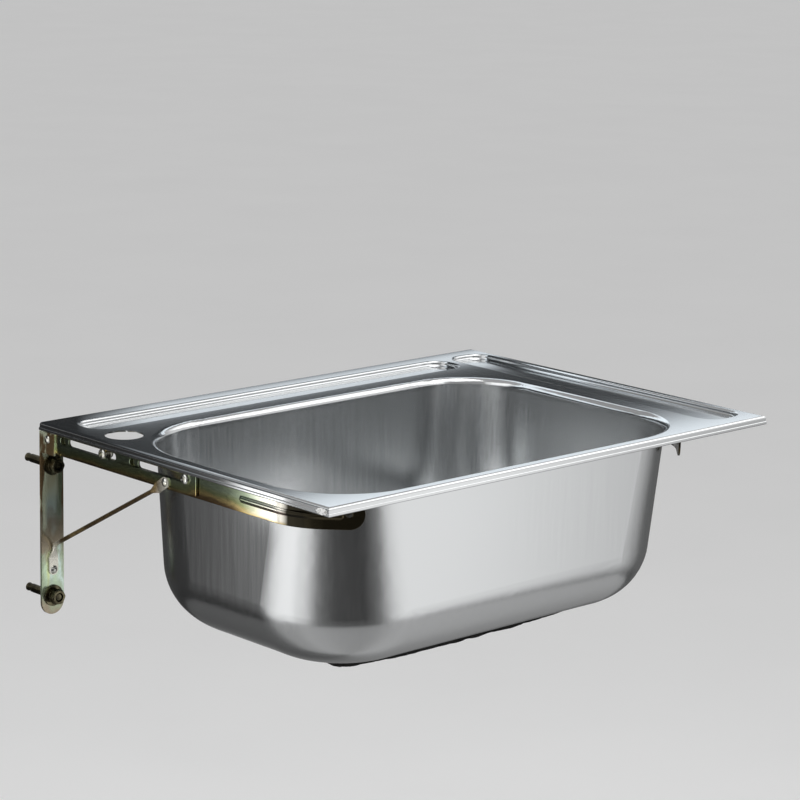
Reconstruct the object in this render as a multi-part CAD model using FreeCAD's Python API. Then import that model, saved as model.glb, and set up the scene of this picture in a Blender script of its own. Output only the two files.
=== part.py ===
import FreeCAD, Part
import math
import os

V = FreeCAD.Vector
X_AXIS = V(1, 0, 0)
Y_AXIS = V(0, 1, 0)
Z_AXIS = V(0, 0, 1)

# A wall-hung utility sink: one pressed steel basin that rests on two adjustable wall brackets.
# Millimetres, +X to the right along the wall, -Y out into the room, +Z up.
# The origin is the centre of the four wall anchors, on the wall's face.

# Basin sheet, rim and apron
sheet = 1.0
bowl_width = 450.0
bowl_length = 298.0
bowl_depth = 167.0
left_border = 18.0
right_deck = 82.0
front_border = 16.0
back_deck = 86.0
wall_gap = 1.0
apron_height = 8.0
apron_roll = 2.6
hem_width = 2.4
hem_height = 3.2
hem_stand = 0.6
hem_roll = 1.0

# Bowl corners, seen from above at the mouth and at the floor, and the bowl's other curves
corner_mouth = 72.0
corner_floor = 100.0
tap_corner_mouth = 100.0
tap_corner_floor = 112.0
wall_draft = 4.0
floor_radius = 58.0
lip_radius = 6.0

# Pressed recesses along the back and the right of the deck
recess_depth = 4.5
recess_back_border = 21.5
recess_back_width = 39.5
recess_left_border = 21.0
recess_right_border = 10.0
recess_right_width = 46.0
recess_front_border = 20.0
recess_corner = 18.0
recess_lip = 2.2
recess_foot = 1.8

# Tap hole, from the rim's left and back edges
tap_hole_radius = 17.5
tap_from_left = 28.0
tap_from_back = 91.0

# Sound-deadening pad glued under the floor
pad_thickness = 5.0
pad_margin = 6.0
pad_corner = 45.0
pad_drain_gap = 7.0

# Waste fitting and its basket
drain_hole_radius = 30.5
drain_fit = 0.4
waste_wall = 2.5
waste_depth = 22.0
waste_floor = 2.5
flange_radius = 41.0
flange_thickness = 2.0
seat_radius = 33.0
seat_drop = 3.0
outlet_radius = 20.0
outlet_wall = 2.0
outlet_length = 13.0
gasket_thickness = 1.5
washer_thickness = 3.0
locknut_height = 9.0
locknut_wall = 11.0
locknut_lugs = 6
basket_wall = 1.2
basket_depth = 15.0
basket_bevel = 3.0
basket_holes = 10
basket_hole_radius = 2.4
basket_hole_edge = 4.5
basket_hole_step = 6.5
knob_radius = 9.0
knob_height = 9.0
knob_bevel = 2.7
knob_collar_radius = 4.8
knob_post_radius = 3.0
knob_head_radius = 5.6
stopper_thickness = 3.0
stopper_drop = 3.5
stopper_lap = 2.0
running_gap = 0.3

# Wall plates and their anchors
plate_width = 25.0
plate_thickness = 2.5
plate_tail = 18.0
anchor_pitch = 125.0
anchor_drop = 42.0
anchor_radius = 4.0
anchor_thread_radius = 3.7
anchor_chamfer = 0.8
anchor_clearance = 0.5
anchor_proud = 9.1
anchor_embed = 35.0
anchor_cone = 6.0
anchor_neck_radius = 3.0
clip_length = 10.0
thread_gap = 0.15
washer_radius = 10.0
washer_height = 1.6
spring_radius = 7.0
spring_height = 2.0
nut_flats = 13.0
nut_height = 6.5
nut_chamfer_angle = 30.0
nut_face_share = 0.95
nut_corner_reach = 1.5

# Ears on the plates and the two arms of each bracket
ear_length = 22.0
ear_height = 20.0
ear_bend = 3.0
arm_thickness = 2.0
arm_gap = 0.3
seat_gap = 0.3
basin_clearance = 0.8
rear_arm_height = 24.7
rear_arm_end = 11.0
front_arm_height = 27.2
slot_start = 30.0
slot_length = 82.0
slot_web = 20.0
slot_width = 7.0
slot_drop = 12.2
slot_ahead = 13.0
front_arm_tail = 14.0
bend_radius = 60.0
bend_angle = 45.0
tab_length = 35.0
left_tab_setback = 8.0
right_tab_setback = 15.0
tab_hole_radius = 3.0
bead_radius = 3.5
bead_stand = 1.5
bead_drop = 15.5
bead_lead = 42.0
bead_tail = 14.0

# Adjuster screws with their washers and nuts
screw_radius = 2.5
screw_head_radius = 4.8
screw_head_height = 2.8
screw_brim = 1.1
screw_spare = 1.4
rear_screw_back = 18.5
front_screw_back = 3.5
adjuster_washer_radius = 6.0
adjuster_washer_height = 1.0
adjuster_nut_flats = 8.0
adjuster_nut_height = 3.2

# Rivets and tie rods
rivet_radius = 2.0
rivet_fit = 0.1
rivet_head_radius = 4.0
rivet_head_height = 1.8
rivet_tail = 0.9
ear_rivet_reach = 12.0
ear_rivet_drop = 15.0
rod_radius = 2.0
rod_tab_width = 10.0
rod_tab_thickness = 1.6
rod_tab_length = 12.0
rod_neck = 7.0
rod_bend = 5.0
rod_stand = 0.4
rod_foot_rise = 25.0
rod_head_reach = 183.5
rod_head_rise = 4.4

# How far a cutting form runs past its piece, how near counts as level, and a fillet's share of its wall
cut_past = 9.0
level_within = 0.01
fillet_share = 0.45

# Places that follow from the sizes above
rim_width = left_border + bowl_width + right_deck
rim_depth = front_border + bowl_length + back_deck
left_arm_inset = hem_width + basin_clearance
right_arm_inset = recess_right_border + recess_right_width + recess_lip + basin_clearance
plate_offset = plate_width / 2 - arm_thickness
plate_pitch = rim_width - left_arm_inset - right_arm_inset - 2 * plate_offset
rim_left = -plate_pitch / 2 - plate_offset - left_arm_inset
rim_right = rim_left + rim_width
rim_back = -wall_gap
rim_front = rim_back - rim_depth
rim_top = anchor_pitch / 2 + anchor_drop
apron_bottom = rim_top - apron_height
arm_top = rim_top - sheet - seat_gap
bowl_left = rim_left + left_border
bowl_right = bowl_left + bowl_width
bowl_front = rim_front + front_border
bowl_back = bowl_front + bowl_length
floor_top = rim_top - bowl_depth
floor_bottom = floor_top - sheet
arm_stack = 2 * arm_thickness + arm_gap
back_recess_right = rim_right - right_arm_inset - arm_stack - sheet - recess_lip - basin_clearance
drain_x = (bowl_left + bowl_right) / 2
drain_y = (bowl_front + bowl_back) / 2
tube_radius = drain_hole_radius - 2 * drain_fit
tube_bore = tube_radius - waste_wall
tube_foot = floor_top - waste_depth
flange_foot = floor_top + gasket_thickness
flange_top = flange_foot + flange_thickness
locknut_radius = tube_radius + locknut_wall
thread_radius = tube_radius + drain_fit / 2
basket_foot = flange_top - basket_depth
stopper_foot = basket_foot - stopper_drop - stopper_thickness


def outline(x0, x1, y0, y1, radii, z):
    """Closed rounded rectangle; the radii go front-left, front-right, back-right, back-left."""
    front_left, front_right, back_right, back_left = radii
    corners = (
        (x1 - front_right, y0 + front_right, front_right, 270),
        (x1 - back_right, y1 - back_right, back_right, 0),
        (x0 + back_left, y1 - back_left, back_left, 90),
        (x0 + front_left, y0 + front_left, front_left, 180),
    )
    arcs = []
    for cx, cy, radius, start in corners:
        turn = [math.radians(start + step) for step in (0, 45, 90)]
        points = [V(cx + radius * math.cos(a), cy + radius * math.sin(a), z) for a in turn]
        arcs.append(points)
    edges = []
    for points, following in zip(arcs, arcs[1:] + arcs[:1]):
        edges.append(Part.Arc(*points).toShape())
        edges.append(Part.makeLine(points[2], following[0]))
    return Part.Wire(edges)


def slab(x0, x1, y0, y1, z0, z1):
    return Part.makeBox(x1 - x0, y1 - y0, z1 - z0, V(x0, y0, z0))


def ring(outer, inner, height, base, axis):
    body = Part.makeCylinder(outer, height, base, axis)
    return body.cut(Part.makeCylinder(inner, height, base, axis))


def revolved(points, centre):
    """Turns a profile of (radius, height) points about an upright line through the centre."""
    path = [V(centre.x + r, centre.y, centre.z + z) for r, z in points]
    face = Part.Face(Part.makePolygon(path + path[:1]))
    return face.revolve(centre, Z_AXIS, 360)


def hexagon(flats, height, base, axis):
    """Hexagonal nut blank, two of its flats level and its corners turned off at both faces."""
    radius = flats / math.sqrt(3)
    across = Z_AXIS if abs(axis.z) < 0.5 else X_AXIS
    side = axis.cross(across)
    points = []
    for step in range(6):
        turn = math.radians(60 * step)
        points.append(base + across * (radius * math.sin(turn)) + side * (radius * math.cos(turn)))
    prism = Part.Face(Part.makePolygon(points + points[:1])).extrude(axis * height)
    face_radius = nut_face_share * flats / 2
    brim = face_radius + nut_corner_reach * (radius - face_radius)
    drop = (brim - face_radius) * math.tan(math.radians(nut_chamfer_angle))
    turned = revolved(((0, 0), (face_radius, 0), (brim, drop), (brim, height - drop),
                       (face_radius, height), (0, height)), V(0, 0, 0))
    turned.Placement = FreeCAD.Placement(base, FreeCAD.Rotation(Z_AXIS, axis))
    return prism.common(turned)


def at_drain(z):
    return V(drain_x, drain_y, z)


def round_drain(radius, count, z):
    """Evenly spaced points on a level circle about the drain."""
    turns = [2 * math.pi * step / count for step in range(count)]
    return [at_drain(z) + V(radius * math.cos(turn), radius * math.sin(turn), 0) for turn in turns]


def level_edges(shape, z, x0, x1, y0, y1):
    """Edges that lie flat at one height inside a plan rectangle."""
    found = []
    for edge in shape.Edges:
        box = edge.BoundBox
        level = max(abs(box.ZMin - z), abs(box.ZMax - z)) < level_within
        inside = box.XMin > x0 and box.XMax < x1 and box.YMin > y0 and box.YMax < y1
        if level and inside:
            found.append(edge)
    return found


# Basin

def bowl_form(grow):
    """The bowl's hollow, or its outside when grown by the sheet."""
    foot = floor_top - grow
    mouth = outline(bowl_left - grow, bowl_right + grow, bowl_front - grow, bowl_back + grow,
                    (corner_mouth + grow, corner_mouth + grow, corner_mouth + grow,
                     tap_corner_mouth + grow), rim_top)
    inset = wall_draft - grow
    base = outline(bowl_left + inset, bowl_right - inset, bowl_front + inset, bowl_back - inset,
                   (corner_floor + grow, corner_floor + grow, corner_floor + grow,
                    tap_corner_floor + grow), foot)
    form = Part.makeLoft([mouth, base], True, True)
    rounded = level_edges(form, foot, rim_left, rim_right, rim_front, rim_back)
    return form.makeFillet(floor_radius + grow, rounded)


def recess_form(grow):
    """The two long hollows pressed into the deck, along the back and down the right side."""
    foot = rim_top - recess_depth - grow
    back = rim_back - recess_back_border + grow
    right = rim_right - recess_right_border + grow
    spans = (
        (rim_left + recess_left_border - grow, back_recess_right + grow,
         back - recess_back_width - 2 * grow, back),
        (right - recess_right_width - 2 * grow, right, rim_front + recess_front_border - grow, back),
    )
    forms = []
    for span in spans:
        face = Part.Face(outline(*span, (recess_corner + grow,) * 4, foot))
        form = face.extrude(V(0, 0, recess_depth + grow))
        floor = level_edges(form, foot, rim_left, rim_right, rim_front, rim_back)
        forms.append(form.makeFillet(min(recess_foot, fillet_share * recess_depth) + grow, floor))
    return Part.makeCompound(forms)


def pressed_block(skin):
    """Everything below the sheet's upper skin, or below its lower one."""
    edge = hem_stand + skin
    top = rim_top - skin
    foot = floor_bottom - cut_past - skin
    block = slab(rim_left + edge, rim_right - edge, rim_front + edge, rim_back - edge, foot, top)
    block = block.cut(bowl_form(skin)).cut(recess_form(skin))
    hollow = (rim_left + hem_width + sheet, rim_right - hem_width - sheet,
              rim_front + hem_width + sheet, rim_back - hem_width - sheet)
    just_past = 2 * sheet
    mouth_right = bowl_right + just_past
    mouth_back = bowl_back + just_past
    lips = level_edges(block, top, hollow[0], mouth_right, hollow[2], mouth_back)
    block = block.makeFillet(lip_radius - skin, lips)
    recess = level_edges(block, top, hollow[0], hollow[1], hollow[2], hollow[3])
    recess = [e for e in recess if e.BoundBox.YMax > mouth_back + lip_radius
              or e.BoundBox.XMax > mouth_right + lip_radius]
    block = block.makeFillet(min(recess_lip, recess_depth / 2) - skin, recess)
    rolled = [e for e in level_edges(block, top, rim_left, rim_right, rim_front, rim_back)
              if e.BoundBox.XLength > rim_width - cut_past or e.BoundBox.YLength > rim_depth - cut_past]
    return block.makeFillet(apron_roll - skin, rolled)


def basin():
    skin = pressed_block(0).cut(pressed_block(sheet))
    below = floor_bottom - 2 * cut_past
    skirt = slab(rim_left, rim_right, rim_front, rim_back, below, apron_bottom + hem_height / 2)
    core = slab(rim_left + hem_width, rim_right - hem_width, rim_front + hem_width,
                rim_back - hem_width, below, rim_top)
    skin = skin.cut(skirt.cut(core))
    hem = slab(rim_left, rim_right, rim_front, rim_back, apron_bottom, apron_bottom + hem_height)
    hem = hem.cut(core)
    level = [e for e in hem.Edges if e.BoundBox.ZLength < level_within]
    hem = hem.makeFillet(min(hem_roll, fillet_share * min(hem_width, hem_height)), level)
    skin = skin.fuse(hem)
    tap = Part.makeCylinder(tap_hole_radius, 2 * cut_past,
                            V(rim_left + tap_from_left, rim_back - tap_from_back, rim_top - cut_past))
    drain = Part.makeCylinder(drain_hole_radius, 2 * cut_past, at_drain(floor_bottom - cut_past))
    return skin.cut(tap).cut(drain)


def pad():
    inset = wall_draft + floor_radius + pad_margin
    face = Part.Face(outline(bowl_left + inset, bowl_right - inset, bowl_front + inset,
                             bowl_back - inset, (pad_corner,) * 4, floor_bottom))
    body = face.extrude(V(0, 0, -pad_thickness))
    hole = Part.makeCylinder(locknut_radius + pad_drain_gap, pad_thickness,
                             at_drain(floor_bottom - pad_thickness))
    return body.cut(hole)


# Waste fitting

def waste_body():
    outlet_bore = outlet_radius - outlet_wall
    outlet_foot = tube_foot - outlet_length
    profile = (
        (tube_radius, flange_foot), (flange_radius, flange_foot),
        (flange_radius - flange_thickness / 2, flange_top), (seat_radius, flange_top),
        (tube_bore, flange_top - seat_drop), (tube_bore, tube_foot + waste_floor),
        (outlet_bore, tube_foot + waste_floor), (outlet_bore, outlet_foot),
        (outlet_radius, outlet_foot), (outlet_radius, tube_foot), (tube_radius, tube_foot),
    )
    return revolved(profile, at_drain(0))


def locknut():
    foot = floor_bottom - washer_thickness - locknut_height
    body = ring(locknut_radius, thread_radius, locknut_height, at_drain(foot), Z_AXIS)
    for spot in round_drain(locknut_radius, locknut_lugs, foot):
        body = body.cut(Part.makeCylinder(locknut_wall / 2, locknut_height, spot))
    return body


def basket():
    """Perforated cup whose lip hangs on the waste's sloping seat."""
    slope = seat_drop / (seat_radius - tube_bore)
    cup = tube_bore - 2 * running_gap
    lip = seat_radius - basket_wall
    seat = flange_top - seat_drop + 2 * running_gap
    lip_foot = seat + slope * (lip - tube_bore)
    neck_foot = seat + slope * (cup - tube_bore)
    floor = basket_foot + basket_wall
    mitre = basket_wall * math.tan(math.radians(22.5))
    flat = cup - basket_bevel - mitre
    profile = (
        (0, basket_foot), (cup - basket_bevel, basket_foot), (cup, basket_foot + basket_bevel),
        (cup, neck_foot), (lip, lip_foot), (lip, lip_foot + basket_wall),
        (cup - basket_wall, neck_foot + basket_wall),
        (cup - basket_wall, basket_foot + basket_bevel + mitre), (flat, floor), (0, floor),
    )
    body = revolved(profile, at_drain(0))
    outer_ring = flat - basket_hole_edge
    for radius, count in ((outer_ring, 2 * basket_holes), (outer_ring - basket_hole_step, basket_holes)):
        for spot in round_drain(radius, count, basket_foot):
            body = body.cut(Part.makeCylinder(basket_hole_radius, basket_wall, spot))
    return body.cut(Part.makeCylinder(knob_post_radius, basket_wall, at_drain(basket_foot)))


def basket_knob():
    """Lifting knob; its post clamps the basket's floor and carries the stopper below it."""
    post = knob_post_radius - drain_fit / 2
    floor = basket_foot + basket_wall
    stopper_top = stopper_foot + stopper_thickness
    head_foot = stopper_foot - basket_wall
    knob_top = flange_top + knob_height
    profile = (
        (0, head_foot), (knob_head_radius, head_foot), (knob_head_radius, stopper_foot),
        (post, stopper_foot), (post, stopper_top), (knob_collar_radius, stopper_top),
        (knob_collar_radius, basket_foot), (post, basket_foot), (post, floor),
        (knob_collar_radius, floor), (knob_collar_radius, flange_top),
        (knob_radius - knob_bevel, flange_top), (knob_radius, flange_top + knob_bevel),
        (knob_radius, knob_top - knob_bevel), (knob_radius - knob_bevel, knob_top), (0, knob_top),
    )
    return revolved(profile, at_drain(0))


# Bracket pieces, drawn for the left bracket with the plate's centre line at x = 0, outside at -x

arm_face = -plate_offset
front_arm_face = arm_face + arm_thickness + arm_gap
slots = (-slot_start, -slot_start - slot_length - slot_web)
screw_places = (slots[0] - slot_length + rear_screw_back, slots[1] - slot_length + front_screw_back)
slot_height = rim_top - slot_drop - sheet
washer_face = arm_face + arm_stack + running_gap
nut_face = washer_face + adjuster_washer_height
left_slot_from = screw_places[1] - slot_ahead + 2 * slot_length + slot_web
right_slot_from = left_slot_from + right_tab_setback - left_tab_setback


def slot_cut(start, face):
    """Upright round-ended slot through one arm, running forward from its start."""
    radius = slot_width / 2
    body = slab(face - cut_past, face + cut_past, start - slot_length + radius, start - radius,
                slot_height - radius, slot_height + radius)
    for y in (start - radius, start - slot_length + radius):
        body = body.fuse(Part.makeCylinder(radius, 2 * cut_past, V(face - cut_past, y, slot_height), X_AXIS))
    return body


def wall_plate():
    top = apron_bottom - basin_clearance
    lower = -anchor_pitch / 2
    end_radius = plate_width / 2
    centre = lower - plate_tail + end_radius
    body = slab(-plate_width / 2, plate_width / 2, -plate_thickness, 0, centre, top)
    body = body.fuse(Part.makeCylinder(end_radius, plate_thickness, V(0, 0, centre), -Y_AXIS))
    outer = -plate_width / 2
    inner = outer + arm_thickness + ear_bend
    hollow = -plate_thickness - ear_bend
    ear = slab(outer, outer + arm_thickness, -ear_length, 0, top - ear_height, top)
    web = slab(outer, inner, hollow, 0, top - ear_height, top)
    scoop = Part.makeCylinder(ear_bend, ear_height, V(inner, hollow, top - ear_height))
    body = body.fuse(ear).fuse(web.cut(scoop)).removeSplitter()
    for z in (anchor_pitch / 2, lower):
        body = body.cut(Part.makeCylinder(anchor_radius + anchor_clearance, plate_thickness,
                                          V(0, 0, z), -Y_AXIS))
    body = body.cut(rivet_hole(ear_rivet_spot(), X_AXIS))
    return body.cut(rivet_hole(rod_foot_spot(), Y_AXIS))


def rear_arm():
    end = slots[1] - slot_length - rear_arm_end
    start = -plate_thickness - ear_bend - arm_gap
    body = slab(arm_face, arm_face + arm_thickness, end, start, arm_top - rear_arm_height, arm_top)
    for slot_from in slots:
        body = body.cut(slot_cut(slot_from, arm_face))
    body = body.cut(rivet_hole(ear_rivet_spot(), X_AXIS))
    return body.cut(rivet_hole(rod_head_spot(), X_AXIS))


def front_arm(setback, slot_from):
    """Inner arm: a straight slotted strip with a bead, bent across the bowl's corner into a rounded tab."""
    foot = arm_top - front_arm_height
    turn = math.radians(bend_angle)
    bend_y = rim_front + setback + tab_length * math.cos(turn) + bend_radius * math.sin(turn)
    centre = V(front_arm_face + bend_radius, bend_y, foot)
    tail = slot_from + front_arm_tail
    body = slab(front_arm_face, front_arm_face + arm_thickness, bend_y, tail, foot, arm_top)
    sweep = ring_sector(centre, bend_radius - arm_thickness, bend_radius, bend_angle, front_arm_height)
    tab = rounded_tab(bend_y, foot)
    tab.rotate(centre, Z_AXIS, bend_angle)
    body = body.fuse([sweep, tab] + bead(centre, bend_y)).removeSplitter()
    for start in (slot_from, slot_from - slot_length - slot_web):
        body = body.cut(slot_cut(start, front_arm_face))
    return body


def ring_sector(centre, inner, outer, angle, height):
    """Upright curved strip that starts on the centre's -X side and turns towards -Y."""
    start = centre + V(-outer, 0, 0)
    across = V(outer - inner, 0, 0)
    up = V(0, 0, height)
    face = Part.Face(Part.makePolygon([start, start + across, start + across + up, start + up, start]))
    return face.revolve(centre, Z_AXIS, angle)


def bead(centre, bend_y):
    """Pressed stiffening bead along the outer face, through the bend, with two domed ends."""
    z = arm_top - bead_drop
    hub = V(centre.x, centre.y, z)
    root = front_arm_face + arm_thickness / 2
    depth = front_arm_face + bead_radius - bead_stand
    half = math.sqrt(bead_radius ** 2 - (depth - root) ** 2)
    low = V(root, bend_y, z - half)
    high = V(root, bend_y, z + half)
    crest = V(front_arm_face - bead_stand, bend_y, z)
    middle = V(root, bend_y, z)
    crown = Part.Arc(low, crest, high).toShape()
    section = Part.Face(Part.Wire([crown, Part.makeLine(high, low)]))
    upper = slab(crest.x - cut_past, root + cut_past, bend_y - cut_past, bend_y + cut_past, z, z + cut_past)
    quarter = section.common(upper)
    cap = quarter.Faces[0].revolve(middle, X_AXIS, 180)
    run = section.extrude(V(0, bead_lead, 0))
    turn = section.revolve(hub, Z_AXIS, bend_angle)
    nose = section.extrude(V(0, -bead_tail, 0))
    back_cap = dome_towards(cap, middle, 1).translated(V(0, bead_lead, 0))
    front_cap = dome_towards(cap, middle, -1).translated(V(0, -bead_tail, 0))
    for piece in (nose, front_cap):
        piece.rotate(hub, Z_AXIS, bend_angle)
    return [run, turn, nose, back_cap, front_cap]


def dome_towards(cap, middle, way):
    """Turns a half dome so that it bulges along +Y or -Y."""
    dome = cap.copy()
    if (cap.CenterOfMass.y - middle.y) * way < 0:
        dome.rotate(middle, X_AXIS, 180)
    return dome


def rounded_tab(bend_y, foot):
    """Free end of the front arm, drawn in line with the strip: a short run, rounded off round its hole."""
    radius = front_arm_height / 2
    middle = V(front_arm_face, bend_y - tab_length + radius, foot + radius)
    body = slab(front_arm_face, front_arm_face + arm_thickness, middle.y, bend_y, foot, arm_top)
    body = body.fuse(Part.makeCylinder(radius, arm_thickness, middle, X_AXIS))
    return body.cut(Part.makeCylinder(tab_hole_radius, arm_thickness, middle, X_AXIS))


def ear_rivet_spot():
    return V(-plate_width / 2, -ear_rivet_reach, rim_top - ear_rivet_drop)


def rod_foot_spot():
    return V(0, -plate_thickness, -anchor_pitch / 2 + rod_foot_rise)


def rod_head_spot():
    return V(arm_face, -rod_head_reach, arm_top - rear_arm_height + rod_head_rise)


def rivet_hole(spot, axis):
    return Part.makeCylinder(rivet_radius + rivet_fit, 2 * cut_past, spot - axis * cut_past, axis)


def rivet(face, length, out, tail=0.0):
    """Domed head standing out from a face, its shank through the stack and an upset tail behind."""
    rise = rivet_head_height
    ball = (rivet_head_radius ** 2 + rise ** 2) / (2 * rise)
    half = math.asin(rivet_head_radius / ball) / 2
    crown = Part.Arc(V(rivet_head_radius, 0, 0),
                     V(ball * math.sin(half), 0, rise - ball * (1 - math.cos(half))),
                     V(0, 0, rise)).toShape()
    points = [V(0, 0, rise), V(0, 0, -length - tail)]
    if tail:
        points += [V(rivet_head_radius, 0, -length - tail), V(rivet_head_radius, 0, -length)]
    points += [V(rivet_radius, 0, -length), V(rivet_radius, 0, 0), V(rivet_head_radius, 0, 0)]
    profile = Part.Face(Part.Wire([crown] + Part.makePolygon(points).Edges))
    body = profile.revolve(V(0, 0, 0), Z_AXIS, 360)
    body.Placement = FreeCAD.Placement(face, FreeCAD.Rotation(Z_AXIS, out))
    return body


def ear_rivet():
    return rivet(ear_rivet_spot(), 2 * arm_thickness, -X_AXIS, rivet_tail)


def rod_rivets():
    foot_face = rod_foot_spot() - Y_AXIS * rod_tab_thickness
    head_face = rod_head_spot() - X_AXIS * rod_tab_thickness
    foot = rivet(foot_face, rod_tab_thickness + plate_thickness, -Y_AXIS)
    head = rivet(head_face, rod_tab_thickness + arm_thickness, -X_AXIS)
    return [foot, head]


def round_section(centre, out, side):
    """The rod's round section in four quarter arcs, to match a flat section's four sides."""
    points = []
    for step in range(9):
        turn = math.radians(45 * step - 135)
        points.append(centre + (side * math.cos(turn) + out * math.sin(turn)) * rod_radius)
    return Part.Wire([Part.Arc(*points[i:i + 3]).toShape() for i in (0, 2, 4, 6)])


def flat_tab(spot, out, along):
    """Flattened rod end on a face: a plate round its rivet hole, drawn in to the rod's round."""
    side = out.cross(along)
    across = side * rod_tab_width
    up = out * rod_tab_thickness
    corner = spot - across / 2
    throat = corner + along * rod_tab_length
    plate = Part.makeCylinder(rod_tab_width / 2, rod_tab_thickness, spot, out)
    strip = Part.Face(Part.makePolygon([corner, corner + across, throat + across, throat, corner]))
    plate = plate.fuse(strip.extrude(up)).removeSplitter()
    flat = Part.makePolygon([throat, throat + across, throat + across + up, throat + up, throat])
    entry = spot + along * (rod_tab_length + rod_neck) + out * (rod_radius + rod_stand)
    neck = Part.makeLoft([flat, round_section(entry, out, side)], True, True)
    return plate.fuse(neck).removeSplitter().cut(rivet_hole(spot, out)), entry


def tie_rod():
    """Round rod with flattened ends, from the plate's foot up to the rear arm."""
    rise = rod_head_spot() - rod_foot_spot()
    slope = V(0, -rise.y, -rise.z).normalize()
    foot_tab, low = flat_tab(rod_foot_spot(), -Y_AXIS, Z_AXIS)
    head_tab, high = flat_tab(rod_head_spot(), -X_AXIS, slope)
    bend = low + Z_AXIS * rod_bend
    leg = (high - bend).normalize()
    half_turn = Z_AXIS.getAngle(leg) / 2
    sag = rod_bend / math.tan(half_turn) * (1 / math.cos(half_turn) - 1)
    mid = bend + (leg - Z_AXIS).normalize() * sag
    finish = bend + leg * rod_bend
    path = Part.Wire([Part.Arc(low, mid, finish).toShape(), Part.makeLine(finish, high)])
    profile = round_section(low, -Y_AXIS, -Y_AXIS.cross(Z_AXIS))
    rod = path.makePipeShell([profile], True, False)
    return rod.fuse(foot_tab).fuse(head_tab).removeSplitter()


def adjuster_screws():
    length = nut_face + adjuster_nut_height + screw_spare - arm_face
    bodies = []
    for y in screw_places:
        face = V(arm_face, y, slot_height)
        head = Part.makeCylinder(screw_head_radius, screw_head_height, face, -X_AXIS)
        crown = [e for e in head.Edges if e.BoundBox.XMax < arm_face - screw_brim]
        head = head.makeFillet(screw_head_height - screw_brim, crown)
        bodies.append(head.fuse(Part.makeCylinder(screw_radius, length, face, X_AXIS)).removeSplitter())
    return bodies


def adjuster_washers():
    return [ring(adjuster_washer_radius, screw_radius + rivet_fit, adjuster_washer_height,
                 V(washer_face, y, slot_height), X_AXIS) for y in screw_places]


def adjuster_nuts():
    bodies = []
    for y in screw_places:
        base = V(nut_face, y, slot_height)
        blank = hexagon(adjuster_nut_flats, adjuster_nut_height, base, X_AXIS)
        thread = Part.makeCylinder(screw_radius + rivet_fit, adjuster_nut_height, base, X_AXIS)
        bodies.append(blank.cut(thread))
    return bodies


# Wall anchors, one set for each of the four holes

def anchor_places():
    return [V(x, 0, z) for x in (-plate_pitch / 2, plate_pitch / 2)
            for z in (anchor_pitch / 2, -anchor_pitch / 2)]


def anchor_bolt(place):
    """Stud, threaded in front of the wall, with a neck for its clip and a cone that spreads it."""
    head = -anchor_proud - plate_thickness
    cone = anchor_embed - anchor_cone
    neck = cone - clip_length
    profile = ((0, head), (anchor_thread_radius - anchor_chamfer, head),
               (anchor_thread_radius, head + anchor_chamfer), (anchor_thread_radius, 0),
               (anchor_radius, 0), (anchor_radius, neck), (anchor_neck_radius, neck),
               (anchor_neck_radius, cone), (anchor_radius, anchor_embed), (0, anchor_embed))
    body = revolved(profile, V(0, 0, 0))
    body.Placement = FreeCAD.Placement(place, FreeCAD.Rotation(Z_AXIS, Y_AXIS))
    return body


def anchor_clip(place):
    neck = anchor_embed - anchor_cone - clip_length
    return ring(anchor_radius, anchor_neck_radius + thread_gap, clip_length, place + Y_AXIS * neck, Y_AXIS)


def anchor_washer(place):
    return ring(washer_radius, anchor_radius + thread_gap, washer_height,
                place - Y_AXIS * plate_thickness, -Y_AXIS)


def anchor_spring(place):
    return ring(spring_radius, anchor_radius + thread_gap, spring_height,
                place - Y_AXIS * (plate_thickness + washer_height), -Y_AXIS)


def anchor_nut(place):
    base = place - Y_AXIS * (plate_thickness + washer_height + spring_height)
    blank = hexagon(nut_flats, nut_height, base, -Y_AXIS)
    return blank.cut(Part.makeCylinder(anchor_radius + thread_gap, nut_height, base, -Y_AXIS))


# Assembly: the right bracket is the left one's mirror image

def on_left(shape):
    return shape.translated(V(-plate_pitch / 2, 0, 0))


def on_right(shape):
    return shape.mirror(V(0, 0, 0), X_AXIS).translated(V(plate_pitch / 2, 0, 0))


def both(shapes):
    return [on_left(s) for s in shapes] + [on_right(s) for s in shapes]


pieces = {
    "basin": [basin()],
    "sound_deadening_pad": [pad()],
    "waste_body": [waste_body()],
    "waste_gasket": [ring(flange_radius - flange_thickness, drain_hole_radius, gasket_thickness,
                          at_drain(floor_top), Z_AXIS)],
    "waste_washer": [ring(locknut_radius, thread_radius, washer_thickness, at_drain(floor_bottom),
                          -Z_AXIS)],
    "waste_locknut": [locknut()],
    "strainer_basket": [basket()],
    "basket_knob": [basket_knob()],
    "basket_stopper": [ring(outlet_radius - outlet_wall + stopper_lap, knob_post_radius, stopper_thickness,
                            at_drain(stopper_foot), Z_AXIS)],
    "left_wall_plate": [on_left(wall_plate())],
    "right_wall_plate": [on_right(wall_plate())],
    "left_rear_arm": [on_left(rear_arm())],
    "right_rear_arm": [on_right(rear_arm())],
    "left_front_arm": [on_left(front_arm(left_tab_setback, left_slot_from))],
    "right_front_arm": [on_right(front_arm(right_tab_setback, right_slot_from))],
    "left_tie_rod": [on_left(tie_rod())],
    "right_tie_rod": [on_right(tie_rod())],
    "ear_rivets": both([ear_rivet()]),
    "tie_rod_rivets": both(rod_rivets()),
    "adjuster_screws": both(adjuster_screws()),
    "adjuster_washers": both(adjuster_washers()),
    "adjuster_nuts": both(adjuster_nuts()),
    "anchor_bolts": [anchor_bolt(p) for p in anchor_places()],
    "anchor_clips": [anchor_clip(p) for p in anchor_places()],
    "anchor_washers": [anchor_washer(p) for p in anchor_places()],
    "anchor_spring_washers": [anchor_spring(p) for p in anchor_places()],
    "anchor_nuts": [anchor_nut(p) for p in anchor_places()],
}

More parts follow.
